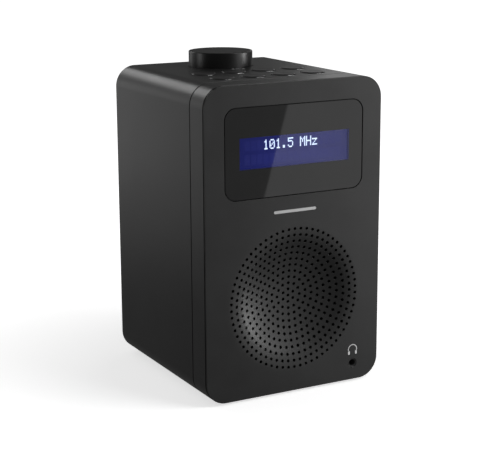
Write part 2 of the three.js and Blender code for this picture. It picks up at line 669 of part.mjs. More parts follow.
function powerInlet() {
  const noseBack = COVER_Y - GAP;
  const noseFront = BACK_Y - 0.5;
  return centredBox(POWER.x, noseBack - 5.5, POWER.z, 9, 11, 11)
    .add(cylinderY(POWER.x, POWER.z, POWER.nose, noseBack - 1, noseFront))
    .subtract(cylinderY(POWER.x, POWER.z, POWER.bore, noseBack - 8, noseFront + 1))
    .add(cylinderY(POWER.x, POWER.z, POWER.pin, noseBack - 8.5, noseFront - 1, 12));
}

function rearScrew(x, z) {
  const headY = BACK_Y - 1.5 + GAP;
  const crown = BACK_Y - 0.3;
  const cross = box(x - 1.9, x + 1.9, crown - 0.7, crown + 1, z - 0.35, z + 0.35).add(
    box(x - 0.35, x + 0.35, crown - 0.7, crown + 1, z - 1.9, z + 1.9),
  );
  return cylinderY(x, z, 2.9, headY, crown, 20)
    .add(cylinderY(x, z, 1.3, headY - 13, headY + 0.2, 12))
    .subtract(cross);
}

function addBack() {
  add("rear_cover", rearCover(), CABINET_BLACK);
  add("battery_door", batteryDoor(), CABINET_BLACK);
  add("battery_contact_upper", batteryContact(BAY.z1 - GAP, -1, 1.6), STEEL);
  add("battery_contact_lower", batteryContact(BAY.z0 + GAP, 1, 6), STEEL);
  add("power_inlet", powerInlet(), RUBBER_BLACK);
  let number = 1;
  for (const z of SCREW_ZS) {
    for (const x of [-SCREW_X, SCREW_X]) {
      add(`rear_screw_${number}`, rearScrew(x, z), STEEL);
      number += 1;
    }
  }
}

// ---- antenna: swivel plate with two ears, pin, elbow and four telescoping sections -------------------------------------
const TONGUE_HALF = 1.6;
const EAR_INNER = TONGUE_HALF + GAP;
const EAR_OUTER = EAR_INNER + 1.9;

function antennaSwivel() {
  const plateY = BACK_Y + 0.3;
  const plateBack = plateY + 1.2;
  let swivel = cylinderY(PIVOT.x, PIVOT.z, 6, plateY, plateBack, 28).add(
    cylinderY(PIVOT.x, PIVOT.z, 2.5, COVER_Y - 2.5, plateY + 0.5, 20),
  );
  for (const side of [-1, 1]) {
    const x0 = PIVOT.x + Math.min(side * EAR_INNER, side * EAR_OUTER);
    const x1 = PIVOT.x + Math.max(side * EAR_INNER, side * EAR_OUTER);
    swivel = swivel
      .add(cylinderX(PIVOT.y, PIVOT.z, EAR_RADIUS, x0, x1, 24))
      .add(box(x0, x1, plateBack - 0.5, PIVOT.y, PIVOT.z - EAR_RADIUS, PIVOT.z + EAR_RADIUS));
  }
  const pinHole = cylinderX(PIVOT.y, PIVOT.z, PIN_RADIUS + GAP, PIVOT.x - 6, PIVOT.x + 6, 16);
  return swivel.subtract(pinHole);
}

function antennaElbow() {
  const tongueX0 = PIVOT.x - TONGUE_HALF;
  const tongueX1 = PIVOT.x + TONGUE_HALF;
  const plugRadius = MAST_RADII[0] - MAST_WALL - GAP;
  const pinHole = cylinderX(PIVOT.y, PIVOT.z, PIN_RADIUS + GAP, tongueX0 - 1, tongueX1 + 1, 16);
  return cylinderX(PIVOT.y, PIVOT.z, 3.4, tongueX0, tongueX1, 24)
    .add(box(tongueX0, tongueX1, PIVOT.y - 2.4, PIVOT.y + 2.4, MAST_TOP_Z + GAP, PIVOT.z))
    .add(cylinderZ(PIVOT.x, PIVOT.y, plugRadius, MAST_TOP_Z - 5, MAST_TOP_Z + 1, 16))
    .add(cylinderZ(PIVOT.x, PIVOT.y, MAST_RADII[0], MAST_TOP_Z + GAP, MAST_TOP_Z + 1.6, 16))
    .subtract(pinHole);
}

function addAntenna() {
  add("antenna_swivel", antennaSwivel(), CHROME);
  const pin = cylinderX(PIVOT.y, PIVOT.z, PIN_RADIUS, PIVOT.x - EAR_OUTER, PIVOT.x + EAR_OUTER, 16);
  add("antenna_pin", pin, STEEL);
  add("antenna_elbow", antennaElbow(), CHROME);
  const mastBottom = MAST_TOP_Z - MAST_LENGTH;
  MAST_RADII.forEach((radius, index) => {
    const z0 = mastBottom - 1.5 * index;
    const z1 = MAST_TOP_Z - (index ? 5 + GAP + index : 0);
    let tube = cylinderZ(PIVOT.x, PIVOT.y, radius, z0, z1, 16);
    if (index < MAST_RADII.length - 1) {
      tube = tube.subtract(cylinderZ(PIVOT.x, PIVOT.y, radius - MAST_WALL, z0 - 1, z1 + 1, 16));
    }
    add(`antenna_section_${index + 1}`, tube, CHROME);
  });
  const rodEnd = mastBottom - 1.5 * (MAST_RADII.length - 1);
  const tip = cylinderZ(PIVOT.x, PIVOT.y, MAST_RADII[0], rodEnd - 4 - GAP, rodEnd - GAP, 16);
  add("antenna_tip", tip, CHROME);
}

// ---- feet ------------------------------------------------------------------------------------------------------------------
function addFeet() {
  const names = ["front", "back"];
  FOOT_YS.forEach((y, index) => {
    for (const [side, x] of [["left", -FOOT.x], ["right", FOOT.x]]) {
      add(`foot_${names[index]}_${side}`, cylinderZ(x, y, FOOT.radius, 0, FOOT.height), RUBBER_BLACK);
    }
  });
}

// ---- leads inside the cabinet -------------------------------------------------------------------------------------------------
function displayRibbon() {
  const startY = DISPLAY_BOARD_Y + DISPLAY_BOARD.thick + GAP;
  const endY = MAIN_BOARD.y - GAP;
  const shape = new THREE.Shape();
  const thick = 0.5;
  // drawn as [y, z], a strip that leaves the display board, dips and reaches the main board
  const line = [
    [startY, WINDOW.z - 2],
    [startY + 9, WINDOW.z - 2],
    [startY + 22, WINDOW.z - 14],
    [endY - 20, WINDOW.z - 14],
    [endY - 8, WINDOW.z - 4],
    [endY, WINDOW.z - 4],
  ];
  line.forEach(([y, z], index) => (index ? shape.lineTo(y, z) : shape.moveTo(y, z)));
  [...line].reverse().forEach(([y, z]) => shape.lineTo(y, z + thick));
  const geometry = new THREE.ExtrudeGeometry(shape, { depth: 14, bevelEnabled: false });
  return solid(geometry.rotateX(Math.PI / 2).rotateZ(Math.PI / 2).translate(-7, 0, 0));
}

function addLeads() {
  add("display_ribbon", displayRibbon(), RIBBON_WHITE);
  const boardY = MAIN_BOARD.y - GAP - 1.2;
  const speakerRoute = [
    [33, CHASSIS_BACK_Y - 14, SPEAKER_Z + 17],
    [38, CHASSIS_BACK_Y - 8, SPEAKER_Z + 24],
    [40, CHASSIS_BACK_Y + 4, SPEAKER_Z + 34],
    [37, CHASSIS_BACK_Y + 16, SPEAKER_Z + 45],
    [34, boardY - 6, MAIN_BOARD.z0 + 8],
    [34, boardY, MAIN_BOARD.z0 + 12],
  ];
  add("speaker_lead", wire(speakerRoute, 1.1, 26), RUBBER_BLACK);
  const spigotEnd = COVER_Y - 2.5 - GAP;
  const boardBack = MAIN_BOARD.y + MAIN_BOARD.thick + GAP + 1;
  const antennaRoute = [
    [PIVOT.x, spigotEnd - 1, PIVOT.z],
    [PIVOT.x, spigotEnd - 9, PIVOT.z - 1],
    [PIVOT.x - 2, (spigotEnd + boardBack) / 2, PIVOT.z - 9],
    [PIVOT.x - 3, boardBack + 7, PIVOT.z - 8],
    [PIVOT.x - 3, boardBack, PIVOT.z - 6],
  ];
  add("antenna_lead", wire(antennaRoute, 0.8, 18), RUBBER_BLACK);
}

add("cabinet_shell", cabinetShell(), CABINET_BLACK);
add("front_frame", frontFrame(), CABINET_BLACK);
add("front_panel", frontPanel(), PANEL_BLACK);
addDisplay();
addSpeaker();
add("headphone_jack", headphoneJack(), RUBBER_BLACK);
addBoards();
addButtons();
addKnob();
addBack();
addAntenna();
addFeet();
addLeads();

export default radio;
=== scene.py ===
"""The looks of an upright tabletop radio: fine cabinet, perforated dish, display, controls and antenna.

Lengths in the geometry sections are millimetres in the part's own frame (+Z up, front face towards -Y);
every mesh is written in metres.
"""

import json
import math

import bmesh
import bpy
from mathutils import Matrix, Vector
from mathutils.geometry import delaunay_2d_cdt

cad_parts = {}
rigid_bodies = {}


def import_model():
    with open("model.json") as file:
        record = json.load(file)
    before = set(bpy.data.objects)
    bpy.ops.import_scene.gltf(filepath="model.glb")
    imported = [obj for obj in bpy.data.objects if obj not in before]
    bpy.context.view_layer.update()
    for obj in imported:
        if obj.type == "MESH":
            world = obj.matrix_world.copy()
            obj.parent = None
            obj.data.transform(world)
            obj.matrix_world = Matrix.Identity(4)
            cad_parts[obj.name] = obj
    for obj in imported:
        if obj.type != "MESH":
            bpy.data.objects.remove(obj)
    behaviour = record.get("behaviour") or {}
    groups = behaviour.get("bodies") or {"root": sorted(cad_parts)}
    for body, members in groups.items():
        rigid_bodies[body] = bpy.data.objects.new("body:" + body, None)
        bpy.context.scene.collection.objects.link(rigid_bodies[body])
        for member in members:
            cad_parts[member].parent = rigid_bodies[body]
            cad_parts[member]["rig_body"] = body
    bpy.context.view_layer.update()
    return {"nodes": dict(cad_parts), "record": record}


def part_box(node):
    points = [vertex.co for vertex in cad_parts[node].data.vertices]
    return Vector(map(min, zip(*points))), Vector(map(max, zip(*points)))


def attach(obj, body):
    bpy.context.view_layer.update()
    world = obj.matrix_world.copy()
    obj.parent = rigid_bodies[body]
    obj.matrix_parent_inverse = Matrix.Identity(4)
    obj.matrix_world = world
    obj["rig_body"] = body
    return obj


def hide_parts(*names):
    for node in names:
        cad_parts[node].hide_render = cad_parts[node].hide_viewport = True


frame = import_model()

MM = 0.001


def box_mm(node):
    """Lowest and highest corner of a CAD node, in millimetres."""
    low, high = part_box(node)
    return low / MM, high / MM


def middle_xy(low, high):
    return ((low.x + high.x) / 2, (low.y + high.y) / 2)


# ---- driving sizes, from the frame ---------------------------------------------------------------
shell_low, shell_high = box_mm("cabinet_shell")
ring_low, ring_high = box_mm("front_frame")
panel_low = box_mm("front_panel")[0]
lens_low, lens_high = box_mm("display_lens")
glass_low, glass_high = box_mm("lcd_glass")
knob_low, knob_high = box_mm("knob")
jack_low, jack_high = box_mm("headphone_jack")
cone_low, cone_high = box_mm("speaker_cone")

HALF_WIDTH = shell_high.x
BOTTOM, TOP = shell_low.z, shell_high.z
HALF_HEIGHT = (TOP - BOTTOM) / 2
MIDDLE_Z = (TOP + BOTTOM) / 2
CORNER = 12.0  # radius of the cabinet's long edges
FRONT, BACK = panel_low.y, shell_high.y
SPEAKER_Z = (cone_low.z + cone_high.z) / 2
WINDOW_Z = (lens_low.z + lens_high.z) / 2
WINDOW_HALF_WIDTH = (lens_high.x - lens_low.x) / 2
WINDOW_HALF_HEIGHT = (lens_high.z - lens_low.z) / 2
JACK_X, JACK_Z = (jack_low.x + jack_high.x) / 2, (jack_low.z + jack_high.z) / 2
GAP = 0.3  # space between neighbouring pieces
CORNER_STEPS = 20

# The dark grooves either side of the front ring: each runs from a rim to where the next piece starts.
PANEL_RIM = 0.55
RING_FRONT = ring_low.y + 0.2
CABINET_FRONT = ring_high.y + 0.75
# Play round the black strips of painted shade that sit in these grooves.
SHADE_STRIP_PLAY = 0.01


# ---- materials -----------------------------------------------------------------------------------
def new_material(name):
    """A node material, its tree and its main shader."""
    material = bpy.data.materials.new(name)
    material.use_nodes = True
    tree = material.node_tree
    shader = tree.nodes["Principled BSDF"]
    return material, tree, shader


def noise(tree, scale, detail=3.0, stretch=None):
    """A noise texture in object coordinates, with scale in features per metre."""
    coordinates = tree.nodes.new("ShaderNodeTexCoord")
    source = coordinates.outputs["Object"]
    if stretch:
        mapping = tree.nodes.new("ShaderNodeMapping")
        mapping.inputs["Scale"].default_value = stretch
        tree.links.new(source, mapping.inputs["Vector"])
        source = mapping.outputs["Vector"]
    texture = tree.nodes.new("ShaderNodeTexNoise")
    texture.inputs["Scale"].default_value = scale
    texture.inputs["Detail"].default_value = detail
    tree.links.new(source, texture.inputs["Vector"])
    return texture.outputs["Fac"]


def ranged(tree, factor, low, high):
    """The factor, which runs from about 0.3 to 0.7 in a noise, mapped to low..high."""
    node = tree.nodes.new("ShaderNodeMapRange")
    node.inputs["From Min"].default_value = 0.3
    node.inputs["From Max"].default_value = 0.7
    node.inputs["To Min"].default_value = low
    node.inputs["To Max"].default_value = high
    tree.links.new(factor, node.inputs["Value"])
    return node.outputs["Result"]


def tinted(tree, shader, factor, dark, light):
    """The base colour, varying between two near colours. Returns the colour's output."""
    ramp = tree.nodes.new("ShaderNodeValToRGB")
    ramp.color_ramp.elements[0].position = 0.3
    ramp.color_ramp.elements[1].position = 0.7
    ramp.color_ramp.elements[0].color = (*dark, 1)
    ramp.color_ramp.elements[1].color = (*light, 1)
    tree.links.new(factor, ramp.inputs["Fac"])
    tree.links.new(ramp.outputs["Color"], shader.inputs["Base Color"])
    return ramp.outputs["Color"]


def bumped(tree, shader, factor, depth_mm):
    """Relief that follows the factor, with the given depth."""
    bump = tree.nodes.new("ShaderNodeBump")
    bump.inputs["Distance"].default_value = depth_mm * MM
    tree.links.new(factor, bump.inputs["Height"])
    tree.links.new(bump.outputs["Normal"], shader.inputs["Normal"])


def surface(name, grey, roughness, grain=0.004, grain_scale=3200, tint=(1, 1, 1), metal=0.0, spread=0.12):
    """Moulded plastic, rubber, paper or metal: a fine grain, and slow changes of colour and gloss."""
    material, tree, shader = new_material(name)
    fine = noise(tree, grain_scale, 2.0)
    slow = noise(tree, 45, 3.0)
    dark = [grey * (1 - spread) * t for t in tint]
    light = [grey * (1 + spread) * t for t in tint]
    tinted(tree, shader, slow, dark, light)
    rough = ranged(tree, slow, roughness * 0.95, roughness * 1.05)
    tree.links.new(rough, shader.inputs["Roughness"])
    bumped(tree, shader, fine, grain)
    shader.inputs["Metallic"].default_value = metal
    return material


def brushed_metal(name, colour, roughness, stretch):
    """Bare metal with fine scratches, drawn out along the axis with the smallest stretch."""
    material, tree, shader = new_material(name)
    scratches = noise(tree, 900, 4.0, stretch)
    dark = [c * 0.9 for c in colour]
    tinted(tree, shader, scratches, dark, colour)
    rough = ranged(tree, scratches, roughness * 0.7, roughness * 1.3)
    tree.links.new(rough, shader.inputs["Roughness"])
    bumped(tree, shader, scratches, 0.002)
    shader.inputs["Metallic"].default_value = 1.0
    return material


def smoked_acrylic():
    """Clear, polished plastic with a grey tint."""
    material, tree, shader = new_material("smoked_acrylic")
    slow = noise(tree, 60, 2.0)
    tinted(tree, shader, slow, (0.44, 0.44, 0.46), (0.46, 0.46, 0.48))
    rough = ranged(tree, slow, 0.0, 0.01)
    tree.links.new(rough, shader.inputs["Roughness"])
    shader.inputs["Transmission Weight"].default_value = 1.0
    shader.inputs["IOR"].default_value = 1.49
    return material


def glowing(name, dark, light, strength, scale=25):
    """A lit surface whose glow varies slowly between two colours."""
    material, tree, shader = new_material(name)
    colour = tinted(tree, shader, noise(tree, scale, 1.0), dark, light)
    tree.links.new(colour, shader.inputs["Emission Color"])
    shader.inputs["Emission Strength"].default_value = strength
    shader.inputs["Roughness"].default_value = 0.3
    return material


def circuit_board():
    """Green solder mask in a fine pattern of small blocks with lighter, sunken lines between them."""
    material, tree, shader = new_material("circuit_board")
    coordinates = tree.nodes.new("ShaderNodeTexCoord")
    bricks = tree.nodes.new("ShaderNodeTexBrick")
    bricks.inputs["Scale"].default_value = 420
    bricks.inputs["Color1"].default_value = (0.012, 0.07, 0.026, 1)
    bricks.inputs["Color2"].default_value = (0.016, 0.085, 0.03, 1)
    bricks.inputs["Mortar"].default_value = (0.02, 0.12, 0.045, 1)
    bricks.inputs["Mortar Size"].default_value = 0.05
    tree.links.new(coordinates.outputs["Object"], bricks.inputs["Vector"])
    tree.links.new(bricks.outputs["Color"], shader.inputs["Base Color"])
    bumped(tree, shader, bricks.outputs["Fac"], 0.03)
    shader.inputs["Roughness"].default_value = 0.35
    return material


CABINET = surface("cabinet_plastic", 0.022, 0.33)
PANEL = surface("panel_plastic", 0.023, 0.40)
BUTTON = surface("button_plastic", 0.022, 0.36, grain=0.002)
KNOB_TOP = surface("knob_top_plastic", 0.010, 0.40, grain=0.003)
KNOB_SIDE = surface("knob_side_plastic", 0.008, 0.33, grain=0.001)
ACRYLIC = smoked_acrylic()
LENS_BLACK = surface("lens_black", 0.030, 0.03, grain=0.0, spread=0.05)
PRINT_BLACK = surface("black_print", 0.004, 0.7)
PRINT_WHITE = surface("white_print", 0.84, 0.5, grain=0.002, spread=0.04)
BADGE = surface("badge_silver", 0.66, 0.35, metal=0.25, grain=0.002, spread=0.04)
LCD_BLUE = glowing("lcd_blue", (0.016, 0.022, 0.19), (0.022, 0.03, 0.24), 1.0)
LCD_CELL = glowing("lcd_cell", (0.019, 0.026, 0.21), (0.025, 0.034, 0.27), 1.0)
LCD_WHITE = glowing("lcd_white", (0.60, 0.74, 1.0), (0.70, 0.82, 1.0), 3.0, 400)
# Near-black for the strips in the grooves round the front ring: painted shade, dark under any light.
PAINTED_SHADE_BLACK = surface("painted_shade_black", 0.003, 0.9, grain=0.01)
RUBBER = surface("rubber", 0.013, 0.75, grain=0.01, grain_scale=1500)
JACK_PLASTIC = surface("jack_plastic", 0.060, 0.4, grain=0.002)
SILICONE = surface("silicone", 0.25, 0.55)
PAPER = surface("paper_pulp", 0.012, 0.85, grain=0.05, grain_scale=900)
RIBBON = surface("ribbon_white", 0.55, 0.5, grain=0.01, grain_scale=600)
COPPER = brushed_metal("copper_wire", (0.75, 0.34, 0.16), 0.35, (1, 12, 1))
STEEL = brushed_metal("zinc_steel", (0.56, 0.57, 0.58), 0.32, (1, 1, 0.1))
CHROME = brushed_metal("chrome", (0.80, 0.81, 0.83), 0.10, (1, 1, 0.06))
BOARD = circuit_board()

SLOT_MATERIALS = {
    "cabinet_plastic": CABINET,
    "panel_plastic": PANEL,
    "button_plastic": BUTTON,
    "knob_plastic": KNOB_SIDE,
    "lens_acrylic": ACRYLIC,
    "lcd_glass": LCD_BLUE,
    "rubber": RUBBER,
    "silicone": SILICONE,
    "board": BOARD,
    "paper": PAPER,
    "ribbon": RIBBON,
    "steel": STEEL,
    "chrome": CHROME,
    "copper": COPPER,
}


def paint_cad_nodes():
    """Every CAD node that stays in view gets its slot's material."""
    for part in frame["record"]["subparts"]:
        mesh = frame["nodes"][part["node"]].data
        mesh.materials.clear()
        mesh.materials.append(SLOT_MATERIALS[part["material_slot"]])


# ---- mesh tools ----------------------------------------------------------------------------------
def linked_object(name, data):
    """A new object that holds the mesh, light or camera, in the scene."""
    item = bpy.data.objects.new(name, data)
    bpy.context.scene.collection.objects.link(item)
    return item


def object_from(name, bm, scale=1.0):
    """The bmesh, with its doubles merged and its faces turned out, as an object."""
    bmesh.ops.remove_doubles(bm, verts=bm.verts, dist=1e-4)
    bmesh.ops.recalc_face_normals(bm, faces=bm.faces)
    bmesh.ops.scale(bm, vec=(scale, scale, scale), verts=bm.verts)
    mesh = bpy.data.meshes.new(name)
    bm.to_mesh(mesh)
    bm.free()
    return linked_object(name, mesh)


def finish_piece(name, bm, material, body, replaces=(), sharp_deg=28):
    """A bmesh in millimetres as a finished object that rides on a body."""
    piece = object_from(name, bm, MM)
    mesh = piece.data
    for face in mesh.polygons:
        face.use_smooth = True
    mesh.set_sharp_from_angle(angle=math.radians(sharp_deg))
    mesh.materials.append(material)
    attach(piece, body)
    if replaces:
        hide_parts(*replaces)
    return piece


def rounded_loop(half_width, half_height, radius, z=0.0, steps=CORNER_STEPS, x=0.0):
    """Points (x, z) round a rectangle with round corners, anticlockwise seen from the front. A point just
    beyond each end of a corner keeps the straight sides flat under smooth shading."""
    radius = max(radius, 0.01)
    straight = 2 * (min(half_width, half_height) - radius)
    hold = min(0.25, straight / 3)
    points = []
    corners = ((1, 1, 0), (-1, 1, 90), (-1, -1, 180), (1, -1, 270))
    for side_x, side_z, start in corners:
        cx = x + side_x * (half_width - radius)
        cz = z + side_z * (half_height - radius)
        arc = []
        for step in range(steps + 1):
            angle = math.radians(start + 90 * step / steps)
            arc.append((cx + radius * math.cos(angle), cz + radius * math.sin(angle)))
        run_x, run_z = -math.sin(math.radians(start)), math.cos(math.radians(start))
        points.append((arc[0][0] - hold * run_x, arc[0][1] - hold * run_z))
        points += arc
        points.append((arc[-1][0] - hold * run_z, arc[-1][1] + hold * run_x))
    return points


def circle(x, z, radius, count, turn=0.0):
    """Points round a circle."""
    angles = [turn + 2 * math.pi * i / count for i in range(count)]
    return [(x + radius * math.cos(a), z + radius * math.sin(a)) for a in angles]


def add_loop(bm, points, y):
    """Vertices at the (x, z) points, at one depth."""
    return [bm.verts.new((px, y, pz)) for px, pz in points]


def bridge(bm, first, second):
    """Faces between two loops with the same number of vertices."""
    count = len(first)
    for i in range(count):
        j = (i + 1) % count
        bm.faces.new((first[i], first[j], second[j], second[i]))


def held(profile, closed):
    """The profile with extra points next to the ends of its long straight runs, so that a smooth-shaded
    edge stays as narrow as it is modelled and the flats stay flat."""
    hold, long_run = 0.04, 0.45
    ends = list(zip(profile, profile[1:]))
    if closed:
        ends.append((profile[-1], profile[0]))
    points = []
    for (a0, b0), (a1, b1) in ends:
        points.append((a0, b0))
        length = math.hypot(a1 - a0, b1 - b0)
        if length > long_run:
            for share in (hold / length, 1 - hold / length):
                points.append((a0 + (a1 - a0) * share, b0 + (b1 - b0) * share))
    if not closed:
        points.append(profile[-1])
    return points


def swept(profile, outline, closed=True):
    """A cross-section of (inset, y) points carried round an outline, which is a function of the inset.
    Closed sections make a ring; open ones get a flat cap at each end."""
    bm = bmesh.new()
    profile = held(profile, closed)
    loops = [add_loop(bm, outline(inset), y) for inset, y in profile]
    for first, second in zip(loops, loops[1:]):
        bridge(bm, first, second)
    if closed:
        bridge(bm, loops[-1], loops[0])
    else:
        bm.faces.new(loops[0])
        bm.faces.new(loops[-1])
    return bm


def cabinet_outline(inset):
    """The cabinet's outline, seen from the front, moved inwards."""
    return rounded_loop(HALF_WIDTH - inset, HALF_HEIGHT - inset, CORNER - inset, MIDDLE_Z)


def turned(profile, centre, axis="Z", count=64):
    """A profile of (radius, height) points turned about an axis through centre. It starts and ends on the
    axis, or else its last point joins its first."""
    bm = bmesh.new()
    loops = []
    for radius, height in held(profile, profile[0][0] > 0):
        if radius == 0:
            ring = [bm.verts.new(turned_point(0, 0, height, centre, axis))]
        else:
            ring = []
            for i in range(count):
                angle = 2 * math.pi * i / count
                a, b = radius * math.cos(angle), radius * math.sin(angle)
                ring.append(bm.verts.new(turned_point(a, b, height, centre, axis)))
        loops.append(ring)
    pairs = list(zip(loops, loops[1:]))
    if len(loops[0]) > 1:
        pairs.append((loops[-1], loops[0]))
    for first, second in pairs:
        for i in range(count):
            j = (i + 1) % count
            corners = [first[i % len(first)], first[j % len(first)]]
            corners += [second[j % len(second)], second[i % len(second)]]
            corners = list(dict.fromkeys(corners))
            if len(corners) > 2:
                bm.faces.new(corners)
    return bm


def turned_point(a, b, height, centre, axis):
    """(a, b) across the axis and height along it, added to the centre's two cross coordinates."""
    if axis == "Z":
        return (centre[0] + a, centre[1] + b, height)
    if axis == "Y":
        return (centre[0] + a, height, centre[1] + b)
    return (height, centre[0] + a, centre[1] + b)


def combined(base, cutters, bevel=0.0):
    """The base bmesh cut by the other bmeshes, with its sharp edges rounded if asked."""
    target = object_from("base", base)
    helpers = [object_from("cutter", cutter) for cutter in cutters]
    for helper in helpers:
        modifier = target.modifiers.new("cut", "BOOLEAN")
        modifier.operation = "DIFFERENCE"
        modifier.solver = "EXACT"
        modifier.object = helper
    if bevel:
        modifier = target.modifiers.new("bevel", "BEVEL")
        modifier.width = bevel
        modifier.segments = 2
        modifier.limit_method = "ANGLE"
        modifier.angle_limit = math.radians(40)
        modifier.use_clamp_overlap = True
    bpy.context.view_layer.update()
    evaluated = target.evaluated_get(bpy.context.evaluated_depsgraph_get())
    bm = bmesh.new()
    bm.from_mesh(evaluated.to_mesh())
    for piece in [target, *helpers]:
        bpy.data.objects.remove(piece)
    return bm


def brick(low, high):
    """A box between two corners."""
    bm = bmesh.new()
    bmesh.ops.create_cube(bm, size=1)
    size = [h - l for l, h in zip(low, high)]
    middle = Vector([(l + h) / 2 for l, h in zip(low, high)])
    bmesh.ops.scale(bm, vec=size, verts=bm.verts)
    bmesh.ops.translate(bm, vec=middle, verts=bm.verts)
    return bm


def decal(name, outlines, level, facing, material, thick=0.03):
    """Printed marks on the housing: each outline of (u, v) points becomes a thin prism. Facing FRONT puts
    u, v on x, z with y at the level; facing TOP puts them on x, y with z at the level."""
    bm = bmesh.new()
    for outline in outlines:
        low, high = [], []
        for u, v in outline:
            if facing == "FRONT":
                low.append(bm.verts.new((u, level, v)))
                high.append(bm.verts.new((u, level - thick, v)))
            else:
                low.append(bm.verts.new((u, v, level)))
                high.append(bm.verts.new((u, v, level + thick)))
        bm.faces.new(low)
        bm.faces.new(high)
        bridge(bm, low, high)
    finish_piece(name, bm, material, "housing")


# ---- cabinet, frame and their seams --------------------------------------------------------------
BUTTONS = {number: middle_xy(*box_mm(f"button_{number}")) for number in range(1, 9)}
BUTTON_RADIUS = 6.75
KNOB_RADIUS = (knob_high.x - knob_low.x) / 2
KNOB_Y = (knob_low.y + knob_high.y) / 2
SHAFT_HOLE_RADIUS = 4.0
TOP_WALL = 5.0
KNOB_RECESS = 1.2
SPEAKER_HOLE_RADIUS = 35.2
BAFFLE_DEPTH = 10.9
BAFFLE_THICK = 2.0
RING_WALL = 2.6


def hole_cutter(x, y, radius, depth, edge=0.25):
    """Cuts a round hole in the top, with a rounded rim."""
    profile = [
        (0, TOP - depth),
        (radius, TOP - depth),
        (radius, TOP - edge),
        (radius + 0.3 * edge, TOP - 0.3 * edge),
        (radius + edge, TOP),
        (radius + edge, TOP + 1),
        (0, TOP + 1),
    ]
    return turned(profile, (x, y), "Z", 72)


def make_cabinet():
    """The wrap-round cabinet, with the holes for the buttons and the knob's recess in its top."""
    front = CABINET_FRONT
    wall = 3.0
    lip = 1.3
    profile = [
        (0.12, front),
        (0.04, front + 0.04),
        (0, front + 0.12),
        (0, BACK - 0.6),
        (0.18, BACK - 0.18),
        (0.6, BACK),
        (wall - 0.3, BACK),
        (wall, BACK - 0.3),
        (wall, shell_low.y),
        (lip, shell_low.y),
        (lip, front),
    ]
    cutters = [hole_cutter(x, y, BUTTON_RADIUS + GAP, TOP_WALL) for x, y in BUTTONS.values()]
    cutters.append(hole_cutter(0, KNOB_Y, KNOB_RADIUS + GAP, KNOB_RECESS))
    cutters.append(hole_cutter(0, KNOB_Y, SHAFT_HOLE_RADIUS, TOP_WALL))
    bm = combined(swept(profile, cabinet_outline), cutters)
    finish_piece("cabinet_wrap", bm, CABINET, "housing", ["cabinet_shell"], 20)


def groove_shade_strip(name, y_front, y_back):
    """A black strip sunk in a groove that runs round the cabinet: painted shade, so that the groove stays
    dark under any light.
    """
    outer, inner = 0.4, 1.25
    section = [(outer, y_front), (inner, y_front), (inner, y_back), (outer, y_back)]
    finish_piece(name, swept(section, cabinet_outline), PAINTED_SHADE_BLACK, "housing")


def make_front_ring():
    """The ring between front panel and cabinet, and the black strips of painted shade in the grooves on
    both sides of it.
    """
    front, back = RING_FRONT, ring_high.y
    wall, rebate, rebate_front, rebate_back = RING_WALL, 1.0, 1.9, 2.5
    profile = [
        (0.12, front),
        (0.04, front + 0.04),
        (0, front + 0.12),
        (0, back - 0.12),
        (0.04, back - 0.04),
        (0.12, back),
        (rebate, back),
        (rebate, back - rebate_back),
        (wall, back - rebate_back),
        (wall, front + rebate_front),
        (rebate, front + rebate_front),
        (rebate, front),
    ]
    # Black strips of painted shade in the two grooves, dark under any light.
    groove_shade_strip("panel_groove_shade", FRONT + PANEL_RIM + SHADE_STRIP_PLAY, front - SHADE_STRIP_PLAY)
    groove_shade_strip("frame_groove_shade", back + SHADE_STRIP_PLAY, CABINET_FRONT - SHADE_STRIP_PLAY)
    ring = swept(profile, cabinet_outline)
    finish_piece("front_ring", ring, CABINET, "housing", ["front_frame"])


def make_baffle():
    """The plate inside the ring, open for the loudspeaker, the display's leads and the headphone socket."""
    front, back = FRONT + BAFFLE_DEPTH, FRONT + BAFFLE_DEPTH + BAFFLE_THICK
    before, behind = front - 1, back + 1
    inset = RING_WALL + 0.05
    plate = swept([(inset, front), (inset, back)], cabinet_outline, False)
    hole = [(0, before), (SPEAKER_HOLE_RADIUS, before), (SPEAKER_HOLE_RADIUS, behind), (0, behind)]
    openings = [turned(hole, (0, SPEAKER_Z), "Y", 96)]
    for x, z, half_width, half_height in ((0, WINDOW_Z, 30, 9), (JACK_X, JACK_Z, 4.2, 3.5)):
        low = (x - half_width, before, z - half_height)
        high = (x + half_width, behind, z + half_height)
        openings.append(brick(low, high))
    finish_piece("speaker_baffle", combined(plate, openings), PRINT_BLACK, "housing")


# ---- front panel: flat face, window, jack hole and the perforated dish ---------------------------
DISH_DEPTH = 7.6
BOWL_RADIUS = 87.0
LIP_RADIUS = 32.0
HOLE_RADIUS = 0.86
HOLE_PITCH = 3.6
HOLE_RINGS = 11
HOLE_SIDES = 14
HOLE_CHAMFER = 0.06
PANEL_THICK = 3.0
DISH_THICK = 2.0
PANEL_REBATE = 1.3  # how far the panel's back edge stands in from its face
SEAT_INSET = 3.2  # how far the lens's seat reaches in behind its edge
SEAT_CORNER = 3.5
LENS_CORNER = 6.5
LENS_GAP = 0.45
JACK_HOLE_RADIUS = 2.6
DISH_SPAN = BOWL_RADIUS + LIP_RADIUS
DISH_EDGE = math.sqrt(2 * DISH_SPAN * DISH_DEPTH - DISH_DEPTH**2)
DISH_TANGENT = DISH_EDGE * BOWL_RADIUS / DISH_SPAN


def dish_depth(x, z):
    """How far the face lies behind the flat front at a point."""
    radius = math.hypot(x, z - SPEAKER_Z)
    if radius >= DISH_EDGE:
        return 0.0
    if radius > DISH_TANGENT:
        return LIP_RADIUS - math.sqrt(LIP_RADIUS**2 - (DISH_EDGE - radius) ** 2)
    return DISH_DEPTH - BOWL_RADIUS + math.sqrt(BOWL_RADIUS**2 - radius**2)


